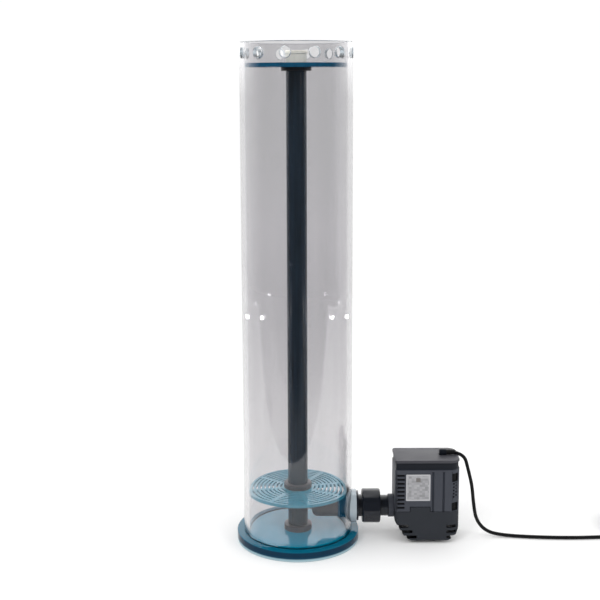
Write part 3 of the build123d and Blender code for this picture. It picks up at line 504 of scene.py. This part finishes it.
def paint_pump_recess_shade(recipe, color):
    """Painted shade in the pump's skin: recesses darken with their depth, grooves a little, vents and ports to
    black.
    """
    depth = place_group(recipe, pump_depth, {})["Depth"]
    shade = recipe.ramp(recipe.spread(depth, 0.0, 1.0, 0.0, 1.3 * mm), [
        (0.1, (1, 1, 1)), (0.35, (0.5, 0.53, 0.58)), (0.7, (0.3, 0.34, 0.4)), (0.88, (0.02, 0.02, 0.03)),
    ])
    return recipe.mix(1.0, color, shade, "MULTIPLY")


def wall_cut(recipe):
    """A mask of the tube's cut faces, its rims and the walls of its holes: points inside its wall."""
    middle, reach = 52.5 * mm, 2.3 * mm
    return recipe.sum("COMPARE", recipe.from_axis(), middle, reach)


def paint_tube(recipe, color):
    """The tube's tint, with painted light in it: lighter at its foot and just under its rim, faint lighter and
    darker bands between, and bluish where it is cut.
    """
    along = recipe.spread(recipe.place()[3], 0.0, 1.0, tube_low[2], tube_high[2])
    height_light_paint = recipe.ramp(along, [
        (0.0, (1.13, 1.12, 1.12)), (0.12, (1.1, 1.095, 1.09)), (0.45, (0.975, 0.97, 0.975)),
        (0.62, (1.025, 1.02, 1.025)), (0.8, (1, 1, 1)), (0.955, (1, 1, 1)), (0.965, (1.05, 1.05, 1.05)),
    ])
    shaded = recipe.mix(1.0, color, height_light_paint, "MULTIPLY")
    return recipe.mix(wall_cut(recipe), shaded, (0.60, 0.67, 0.72))


def paint_base(recipe, color):
    """The base plate's top inside the tube: clear teal, a little darker in the corner at the tube's wall."""
    start, end = 0.0485, 0.0505
    corner = recipe.spread(recipe.from_axis(), 0.0, 0.8, start, end)
    return recipe.mix(corner, color, (0.002, 0.055, 0.1))


def paint_rim_light_and_shade(recipe, color):
    """The base plate's side and ledge, with light and shade painted in: teal on the ledge's upward face, navy
    down the side, and a painted reflection of the pale floor in the side's lower third."""
    band = recipe.ramp(recipe.spread(recipe.place()[3], 0.0, 1.0, 0.0, base_top), [
        (0.0, (0.5, 0.62, 0.66)), (0.22, (0.3, 0.46, 0.53)), (0.34, (0.0, 0.035, 0.07)),
        (0.55, (0.0, 0.018, 0.045)), (0.9, (0.0, 0.022, 0.05)), (0.99, (0.002, 0.12, 0.2)),
    ])
    return recipe.mix(0.12, band, color)


def paint_riser(recipe, color):
    """The polished pipe: fine navy and teal lines drawn along it."""
    return place_group(recipe, draw_lines, {"Color": color, "Scale": 420.0, "Depth": 0.3})["Color"]


def paint_label(recipe, color):
    """A rating plate without lettering: a pale border round rows of blank grey fields and one square."""
    x, y, z = recipe.place()[1:]
    low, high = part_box("rating_plate")
    across = recipe.spread(x, 0.0, 1.0, low[0], high[0])
    up = recipe.spread(z, 0.0, 1.0, low[2], high[2])
    edge = [
        recipe.sum("SUBTRACT", 0.5, recipe.sum("ABSOLUTE", recipe.sum("SUBTRACT", value, 0.5)))
        for value in (across, up)
    ]
    border = 0.055
    inside = recipe.sum("GREATER_THAN", recipe.sum("MINIMUM", edge[0], edge[1]), border)
    columns, rows = 9.0, 13.0
    cells = recipe.add("ShaderNodeCombineXYZ", {
        "X": recipe.sum("MULTIPLY", across, columns), "Y": recipe.sum("MULTIPLY", up, rows),
    })
    cell = recipe.add("ShaderNodeVectorMath", {0: cells.outputs[0]}, operation="FLOOR").outputs[0]
    fields = recipe.add("ShaderNodeTexWhiteNoise", {"Vector": cell}, noise_dimensions="3D")
    tone = recipe.spread(fields.outputs["Value"], 0.62, 1.0)
    field_color = recipe.add("ShaderNodeVectorMath", {0: color, "Scale": tone}, operation="SCALE").outputs[0]
    square = recipe.sum(
        "MULTIPLY",
        recipe.sum("COMPARE", across, 0.5, 0.09),
        recipe.sum("COMPARE", up, 0.79, 0.075),
    )
    field_color = recipe.mix(square, field_color, (0.13, 0.12, 0.115))
    return recipe.mix(inside, recipe.mix(0.3, color, (0.5, 0.5, 0.52)), field_color)


finishes = {
    "clear": sheet_acrylic("clear_acrylic_tube", (0.735, 0.73, 0.742), 1.0, paint=paint_tube, cut=wall_cut,
                           haze=0.012, specular=0.3, soak=9.0),
    "milky": sheet_acrylic("milky_acrylic_boss", (0.46, 0.53, 0.58), 0.35, roughness=0.12),
    "blue_base": sheet_acrylic("blue_acrylic_base", (0.002, 0.31, 0.48), 0.12, haze=0.01,
                               paint=paint_base, specular=0.55),
    # the rim: the base's acrylic again, darker, with its light and shade painted in
    "blue_rim_painted_light": sheet_acrylic("blue_acrylic_rim_painted_light", (0.004, 0.05, 0.09), 0.05, paint=paint_rim_light_and_shade, specular=0.12),
    "blue_plate": sheet_acrylic("blue_acrylic_plate", (0.05, 0.36, 0.5), 0.4, haze=0.01, specular=0.5),
    "blue_lid": sheet_acrylic("blue_acrylic_lid", (0.004, 0.11, 0.22), 0.3),
    "blue_socket": sheet_acrylic("blue_acrylic_socket", (0.004, 0.13, 0.25), 0.3),
    "riser_grey": moulded("riser_pipe", (0.009, 0.019, 0.031), 0.22, strength=0.05, paint=paint_riser),
    "grey_pipe": moulded("grey_pipe", (0.036, 0.038, 0.048), 0.38, variation=0.05, scale=1500.0,
                         strength=0.12),
    # painted shade: near black for the top collar, which stands in shade, where the other collars are grey
    "collar_painted_shade": moulded("collar_painted_shade", (0.004, 0.005, 0.008), 0.3),
    "black": moulded("black_union", (0.006, 0.008, 0.013), 0.3, strength=0.15, specular=0.35),
    "rubber": moulded("black_rubber", (0.006, 0.006, 0.007), 0.6, strength=0.3),
    "cable": moulded("cable_sheath", (0.003, 0.003, 0.004), 0.45, strength=0.2, scale=900.0, specular=0.2),
    "pump_grey": moulded("pump_grey", (0.046, 0.050, 0.062), 0.5, strength=0.4, specular=0.15,
                         paint=paint_pump_recess_shade),
    # painted light: the pump's grey made a little lighter on the lid, whose top faces up to the light
    "pump_top_painted_light": moulded("pump_lid_painted_light", (0.053, 0.053, 0.062), 0.5, strength=0.4, specular=0.15),
    "pump_dark": moulded("pump_dark", (0.023, 0.026, 0.032), 0.5, strength=0.4, specular=0.15,
                         paint=paint_pump_recess_shade),
    "natural": moulded("natural_knob", (0.93, 0.9, 0.8), 0.3, variation=0.03),
    "steel": moulded("plain_steel", (0.4, 0.4, 0.4), 0.35, variation=0.05),
    "ferrite": moulded("ferrite_magnet", (0.04, 0.04, 0.045), 0.5),
    "copper": moulded("copper_wire", (0.55, 0.22, 0.1), 0.35, scale=900.0, strength=0.6),
    "green": moulded("board_green", (0.02, 0.12, 0.05), 0.4),
    "foil": moulded("rating_foil", (0.33, 0.33, 0.345), 0.35, variation=0.05, paint=paint_label),
}
kept_nodes = {
    "blue_plate": ["diffuser_plate"],
    "blue_lid": ["top_plate"],
    "black": ["knob_screw"],
    "rubber": ["union_seal", "volute_seal", "pump_feet", "shaft_bushes"],
    "pump_dark": ["volute_cover", "impeller"],
    "foil": ["rating_plate"],
    "steel": ["impeller_shaft", "stator_core", "housing_screws"],
    "ferrite": ["rotor_magnet"],
    "copper": ["stator_windings"],
    "green": ["driver_board"],
}
for finish, members in kept_nodes.items():
    for member in members:
        for slot in nodes[member].material_slots:
            slot.material = finishes[finish]

# ---------------------------------------------------------------- camera, light and floor in place

look_from((0.00305, -1.0506, 0.4666), 0.15007, -0.00362, 64.63, -0.1)
bright_backdrop(1.02, 2.6, 0.08)
softbox("key", (-0.75, -1.2, 1.35), (0, 0, 0.15), 0.5, 0.5, 7)
softbox("fill", (1.2, -0.9, 0.9), (0.1, 0, 0.1), 0.5, 0.5, 3)
for name, side in (("left", -1), ("right", 1)):
    softbox(name + "_glint", (side * 0.529, -0.152, 0.125), (0, 0, 0.2), 0.07, 0.005, 0.06, glossy=True)
    softbox(name + "_edge_glint", (side * 0.456, 0.307, 0.118), (0, 0, 0.2), 0.06, 0.005, 0.04, glossy=True)
scene.view_settings.view_transform = "Standard"
pale_floor(0.32, 1.2, radians(-10))

# ---------------------------------------------------------------- column

cell_width, cell_rows = 30, 12  # a hole's cell of the tube: its columns, one a degree, and its rows
hole_spacing, first_hole = 30, 19  # degrees
hole_below_rim, hole_radius, hole_chamfer = 10.5 * mm, 5 * mm, 0.4 * mm
rim_chamfer, inlet_hole = 0.6 * mm, 10.02 * mm


def holed_cell(middle, half_height, hole, chamfer, cells):
    """Cells of the tube's wall, each with one round hole across the wall. Between a cell's edge and its hole
    a point is (1 - s) * hole + s * edge in (angle, height), where a hole point at distance a along the
    tangent lies at the angle asin(a / radius). The hole's own wall joins the two skins, with a chamfer at
    both. cells are the middles' angles."""
    half = radians(cell_width / 2)
    across = np.linspace(-half, half, cell_width + 1)
    upright = np.linspace(-half_height, half_height, cell_rows + 1)
    edge = np.concatenate([
        np.stack([across[:-1], np.full(cell_width, -half_height)], 1),
        np.stack([np.full(cell_rows, half), upright[:-1]], 1),
        np.stack([across[:0:-1], np.full(cell_width, half_height)], 1),
        np.stack([np.full(cell_rows, -half), upright[:0:-1]], 1),
    ])
    direction = np.arctan2(edge[:, 1], edge[:, 0] * tube_radius)
    share = np.linspace(0, 1, 6)[:, None]
    sheets = []
    for radius in (tube_radius, tube_bore):
        tangent = (hole + chamfer) * np.cos(direction)
        rim = np.stack([np.arcsin(tangent / radius), (hole + chamfer) * np.sin(direction)], 1)
        sheets.append(((1 - share[..., None]) * rim + share[..., None] * edge, np.full(len(share), radius)))
    bore = [
        (hole + chamfer, tube_radius), (hole, tube_radius - chamfer),
        (hole, tube_bore + chamfer), (hole + chamfer, tube_bore),
    ]
    walls = np.stack([
        np.stack([np.arcsin(r * np.cos(direction) / depth), r * np.sin(direction)], 1) for r, depth in bore
    ])
    sheets.append((walls, np.array([depth for r, depth in bore])))
    found = []
    for angle in cells:
        for flat, depth in sheets:
            around, depth = angle + flat[..., 0], depth[:, None]
            points = np.stack([depth * np.cos(around), depth * np.sin(around), middle + flat[..., 1]], -1)
            found.append((points, grid_faces(len(flat), len(edge), around=True)))
    return found


def column_tube():
    """The tube: two skins with one column of points a degree, a cell with a hole every 30 degrees below the
    rim, one for the inlet, and chamfered rims that join the skins. A point of a skin is (radius * cos a,
    radius * sin a, z)."""
    start = first_hole - cell_width // 2
    degrees = np.radians(np.arange(360)) + radians(first_hole) - radians(cell_width / 2)
    hole_middle, hole_half = tube_high[2] - hole_below_rim, 8.5 * mm
    inlet_half = 14.5 * mm
    sheets = []
    band = np.concatenate([
        [tube_low[2]],
        np.linspace(inlet_height - inlet_half, inlet_height + inlet_half, cell_rows + 1),
        np.linspace(inlet_height + inlet_half, hole_middle - hole_half, 16)[1:],
    ])
    top = np.array([hole_middle + hole_half, tube_high[2] - rim_chamfer])
    # the inlet's cell takes the columns round angle 0
    inlet_columns = np.arange(-(cell_width // 2), cell_width // 2) - start
    keep = np.ones((len(band) - 1, 360), bool)
    keep[1 : cell_rows + 1, inlet_columns % 360] = False
    for radius in (tube_radius, tube_bore):
        for heights, mask in ((band, keep), (top, None)):
            angle, z = np.meshgrid(degrees, heights)
            points = np.stack([radius * np.cos(angle), radius * np.sin(angle), z], -1)
            sheets.append((points, grid_faces(len(heights), 360, around=True, keep=mask)))
    rims = [
        [(tube_radius, top[1]), (tube_radius - rim_chamfer, tube_high[2]),
         (tube_bore + rim_chamfer, tube_high[2]), (tube_bore, top[1])],
        [(tube_radius, tube_low[2]), (tube_bore, tube_low[2])],
    ]
    for rim in rims:
        radius, z = np.array(rim)[:, :1], np.array(rim)[:, 1:]
        points = np.stack([radius * np.cos(degrees), radius * np.sin(degrees), z + 0 * degrees], -1)
        sheets.append((points, grid_faces(len(rim), 360, around=True)))
    holes = radians(first_hole) + np.radians(np.arange(0, 360, hole_spacing))
    sheets += holed_cell(hole_middle, hole_half, hole_radius, hole_chamfer, holes)
    sheets += holed_cell(inlet_height, inlet_half, inlet_hole, 0.1 * mm, [0.0])
    return sheets


tube = make_piece("tube_skin", column_tube(), "vessel", "clear", ["reactor_tube"])
tube.visible_shadow = False

base_outline = round_corners(
    [(0, 0), (base_radius, 0), (base_radius, base_top), (tube_radius, base_top), (0, base_top)],
    [0, 0.8 * mm, 0.8 * mm, 0.3 * mm, 0], looped=False,
)
base_sheet = turned(base_outline, (0, 0, 0), columns=256, looped=False)
base = make_piece("base_disc", [base_sheet], "vessel", "blue_base", ["base_plate"])
# the faces outside the tube, on the ledge and the side, take the rim's finish, with its light and shade
# painted in
base.data.materials.append(finishes["blue_rim_painted_light"])
middles = np.zeros(3 * len(base.data.polygons), np.float32)
base.data.polygons.foreach_get("center", middles)
past_tube = np.hypot(middles[0::3], middles[1::3]) > tube_radius
base.data.polygons.foreach_set("material_index", past_tube.astype(np.int32))


def collar(name, node, body, finish, bore, corner):
    """A ring on the column's axis with its upper outer edge rounded and its other edges just broken."""
    low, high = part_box(node)
    outline = round_corners(ring(bore, high[0], low[2], high[2]), [0.2 * mm, 0.2 * mm, corner, 0.3 * mm])
    make_piece(name, [turned(outline, (0, 0, 0), columns=128)], body, finish, [node])


collar("riser_tube", "riser_pipe", "riser", "riser_grey", riser_radius - pipe_wall, 0.3 * mm)
collar("base_guide", "base_collar", "vessel", "grey_pipe", riser_radius + 0.1 * mm, 1.0 * mm)
collar("diffuser_guide", "diffuser_collar", "riser", "grey_pipe", riser_radius + glue_gap, 1.0 * mm)
# the top collar's near-black finish is painted shade
collar("top_guide", "top_collar", "riser", "collar_painted_shade", riser_radius + glue_gap, 0.3 * mm)

knob_low, knob_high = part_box("lift_knob")
knob_radius, knob_base, knob_top = knob_high[0], knob_low[2], knob_high[2]
knob_outline = round_corners([
    (2.02 * mm, knob_base), (knob_radius - 0.7 * mm, knob_base), (knob_radius - 0.7 * mm, knob_top - 3 * mm),
    (knob_radius, knob_top - 3 * mm), (knob_radius, knob_top), (knob_radius - 2.2 * mm, knob_top),
    (knob_radius - 3 * mm, knob_top - 0.9 * mm), (1.2 * mm, knob_top - 0.9 * mm),
    (1.2 * mm, knob_top - 2.2 * mm), (0.05 * mm, knob_top - 2.2 * mm), (0.05 * mm, knob_top - 3 * mm),
    (2.02 * mm, knob_top - 3 * mm),
], [0.1 * mm, 0.3 * mm, 0.3 * mm, 0.2 * mm, 0.8 * mm, 0.6 * mm, 0.4 * mm, 0.2 * mm, 0.1 * mm, 0, 0, 0.1 * mm])
make_piece("knob_cap", [turned(knob_outline, (0, 0, 0), columns=96)], "lid", "natural", ["lift_knob"])

# ---------------------------------------------------------------- inlet and union

boss_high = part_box("inlet_boss")[1]
boss_radius, boss_face = boss_high[1], boss_high[0]
bore = riser_radius + glue_gap
outside, inside = on_wall(tube_radius), on_wall(tube_bore)
make_piece("boss_ring", [side_pipe([
    (boss_radius, outside), (boss_radius, boss_face - 0.8 * mm),
    (boss_radius - 0.25 * mm, boss_face - 0.25 * mm), (boss_radius - 0.8 * mm, boss_face),
    (bore, boss_face), (bore, outside),
], inlet_height)], "vessel", "milky", ["inlet_boss"])

socket_low, socket_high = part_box("inlet_socket")
socket_radius = socket_high[1]
make_piece("socket_ring", [side_pipe([
    (socket_radius, inside), (socket_radius, socket_low[0] + 0.6 * mm),
    (socket_radius - 0.6 * mm, socket_low[0]), (bore, socket_low[0]), (bore, inside),
], inlet_height)], "vessel", "blue_socket", ["inlet_socket"])

pipe_low, pipe_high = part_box("inlet_pipe")
pipe_radius = pipe_high[1]


def mitre(y):
    """The X at which the pipe's mouth, cut at 45 degrees, lies at y: it grows as fast as y from the tip."""
    return pipe_low[0] + pipe_radius + y


make_piece("inlet_tube", [side_pipe([
    (pipe_radius, mitre), (pipe_radius, pipe_high[0]),
    (pipe_radius - pipe_wall, pipe_high[0]), (pipe_radius - pipe_wall, mitre),
], inlet_height)], "vessel", "grey_pipe", ["inlet_pipe"])

axis_center = (0, 0, inlet_height)
union_low, union_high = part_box("union_body")
thread_radius = union_high[2] - inlet_height - 1.4 * mm
flange_end, thread_start, union_face = boss_face + 2 * mm, boss_face + 6 * mm, union_high[0]
union_outline = round_corners([
    (7.5 * mm, union_low[0]), (pipe_radius, union_low[0]), (pipe_radius, boss_face),
    (15 * mm, boss_face), (15 * mm, flange_end), (11 * mm, flange_end), (11 * mm, thread_start),
    (thread_radius, thread_start), (thread_radius, union_face), (7.5 * mm, union_face),
], [0.1 * mm, 0.1 * mm, 0.1 * mm, 0.3 * mm, 0.6 * mm, 0.6 * mm, 0.4 * mm, 0.3 * mm, 0.3 * mm, 0.2 * mm])
make_piece("union_stub", [turned(union_outline, axis_center, "x", 128)], "vessel", "black", ["union_body"])

tail_low, tail_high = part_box("union_tail")
tail_face, tail_end = tail_low[0], tail_high[0]
shoulder = tail_end - 5.6 * mm
tail_outline = round_corners([
    (5.5 * mm, tail_face), (13.4 * mm, tail_face), (13.4 * mm, tail_face + 3 * mm),
    (10.4 * mm, tail_face + 3 * mm), (10.4 * mm, shoulder), (7.18 * mm, shoulder),
    (7.18 * mm, tail_end), (5.5 * mm, tail_end),
], [0.2 * mm, 0.2 * mm, 0.2 * mm, 0.3 * mm, 0.6 * mm, 0.2 * mm, 0.2 * mm, 0.2 * mm])
make_piece("union_sleeve", [turned(tail_outline, axis_center, "x", 128)], "vessel", "black", ["union_tail"])
soften("nut_body", "union_nut", "nut", "black", 0.6 * mm, sharp=25)

# ---------------------------------------------------------------- pump

soften("pump_shell", "motor_housing", "vessel", "pump_grey", 0.5 * mm)
soften("pump_basket", "strainer_basket", "vessel", "pump_dark", 0.5 * mm)
soften("pump_volute", "volute_housing", "vessel", "pump_grey", 0.4 * mm)
soften("pump_cap", "motor_lid", "vessel", "pump_top_painted_light", 0.3 * mm)

gland_low, gland_high = (np.array(corner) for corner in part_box("cable_gland"))
cable_center = (0, 0, gland_low[2] + 3.6 * mm)
gland_outline = round_corners([
    (0, gland_low[0]), (3.6 * mm, gland_low[0]), (3.6 * mm, gland_high[0]), (0, gland_high[0]),
], [0, 1.0 * mm, 0.4 * mm, 0], looped=False)
make_piece("gland_plug", [turned(gland_outline, cable_center, "x", 64, looped=False)], "vessel", "black",
           ["cable_gland"])

relief_start, relief_end = gland_high[0], gland_high[0] + 9 * mm
bore_radius = 1.82 * mm


def relief_sleeve():
    """The strain relief: a sleeve that tapers from 2.9 to 2.3 mm with five ribs, its radius being the taper
    less a groove of 0.35 mm in the second half of each of the five steps along it."""
    along = np.linspace(0, 1, 61)
    step = (5 * along) % 1
    groove = np.clip(np.minimum(step - 0.5, 0.95 - step) * 12, 0, 1)
    radius = (2.9 - 0.6 * along - 0.35 * groove) * mm
    outer = np.stack([radius, relief_start + along * (relief_end - relief_start)], 1)
    inner = np.array([(bore_radius, relief_end), (bore_radius, relief_start)])
    return turned(np.concatenate([outer, inner]), cable_center, "x", 64)


make_piece("relief_ribs", [relief_sleeve()], "vessel", "rubber", ["strain_relief"], sharp=50)

# ---------------------------------------------------------------- cable

coil_low, coil_high = (np.array(corner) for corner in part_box("cable_coil"))
coil_middle = (coil_low + coil_high) / 2
lead = 3.6 * mm  # the lead's diameter
turn_radii = [25.9, 22.3, 18.7, 18.7, 22.3, 25.9, 25.9, 22.3, 18.7]  # mm, and the end's
turn_heights = [1.8, 1.8, 1.8, 5.4, 5.4, 5.4, 9.0, 9.0, 9.0]  # mm, and the end's
turns, points_a_turn = 8, 16
pump_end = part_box("motor_housing")[1][0]
outlet_height = cable_center[2]
# from the pump's end: X and Y in mm, and on the fall a share of the outlet's height
hang = np.array([
    (5.6, 0, 1), (11, -0.8, 0.772), (14.7, -1.4, 0.6),
    (16.2, -2, 0.41), (19.2, -2.8, 0.195), (30, -3.4, 0.06),
])
on_floor = np.array([(47.5, -4.6), (80, -9.4), (117, -11.4), (154, -9.2)])
connector_entry = np.array([-14.5, 13, 17.6]) * mm  # from the coil's middle on the floor


def cable_line():
    """The cable's control points: out of the gland, down to the floor and along it, then eight turns of a
    coil. On a turn a point lies at its turn's radius and height until three quarters of the way round, and
    moves to the next turn's over the last quarter by s * s * (3 - 2 * s), swinging clear of its neighbours
    where it climbs. The end goes on round, as the turns' middle moves to the connector's side and the height
    rises to the connector's."""
    falling = np.stack([pump_end + hang[:, 0] * mm, hang[:, 1] * mm, hang[:, 2] * outlet_height], 1)
    lying = np.stack(
        [pump_end + on_floor[:, 0] * mm, on_floor[:, 1] * mm, np.full(len(on_floor), lead / 2)], 1
    )
    turn = np.arange(0, turns * points_a_turn) / points_a_turn
    number = np.floor(turn).astype(int)
    shift = np.clip((turn - number - 0.75) / 0.25, 0, 1)
    shift = shift * shift * (3 - 2 * shift)
    # the spline lies 0.019 of the radius inside its points, and this makes up 0.012 of it
    radii, heights = np.array(turn_radii) * mm * 1.012, np.array(turn_heights) * mm
    climb = heights[number + 1] - heights[number]
    swing = np.sign(radii[number] - radii.mean()) * climb * 1.75 * shift * (1 - shift)
    radius = radii[number] + shift * (radii[number + 1] - radii[number]) + swing
    height = heights[number] + shift * climb
    angle = 2 * pi * turn - pi / 2
    wound = np.stack([
        coil_middle[0] + radius * np.cos(angle), coil_middle[1] + radius * np.sin(angle), height,
    ], 1)
    angle = np.linspace(-pi / 2, pi, 14)
    moved, risen = (np.clip((angle + pi / 2) / span, 0, 1) for span in (1.25 * pi, 4 * pi / 3))
    moved, risen = (share * share * (3 - 2 * share) for share in (moved, risen))
    radius = radii[-1] + moved * (16.2 * mm - radii[-1])
    rise = np.stack([
        coil_middle[0] + moved * 1.7 * mm + radius * np.cos(angle),
        coil_middle[1] + moved * 15.5 * mm + radius * np.sin(angle),
        heights[-1] + risen * (connector_entry[2] - heights[-1]),
    ], 1)
    start = np.array([[relief_start, 0, outlet_height]])
    end = np.array([[coil_middle[0], coil_middle[1], 0]]) + connector_entry
    return np.concatenate([start, falling, lying, wound, rise, end])


def lay_cable(points, diameter):
    """The cable: one NURBS spline of order three along its control points, with a round section."""
    curve = bpy.data.curves.new("cable_lead", "CURVE")
    curve.dimensions = "3D"
    curve.bevel_depth, curve.bevel_resolution = diameter / 2, 5
    curve.resolution_u = 8
    curve.use_fill_caps = True
    spline = curve.splines.new("NURBS")
    spline.points.add(len(points) - 1)
    spline.points.foreach_set("co", np.column_stack([points, np.ones(len(points))]).ravel())
    spline.order_u = 3
    spline.use_endpoint_u = True
    curve.materials.append(finishes["cable"])
    cable = bpy.data.objects.new("cable_lead", curve)
    scene.collection.objects.link(cable)
    return cable


cable = lay_cable(cable_line(), lead)
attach(cable, "vessel")
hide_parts("pump_cable", "cable_coil")
connector = soften("connector_shell", "cable_connector", "vessel", "black", 0.4 * mm)
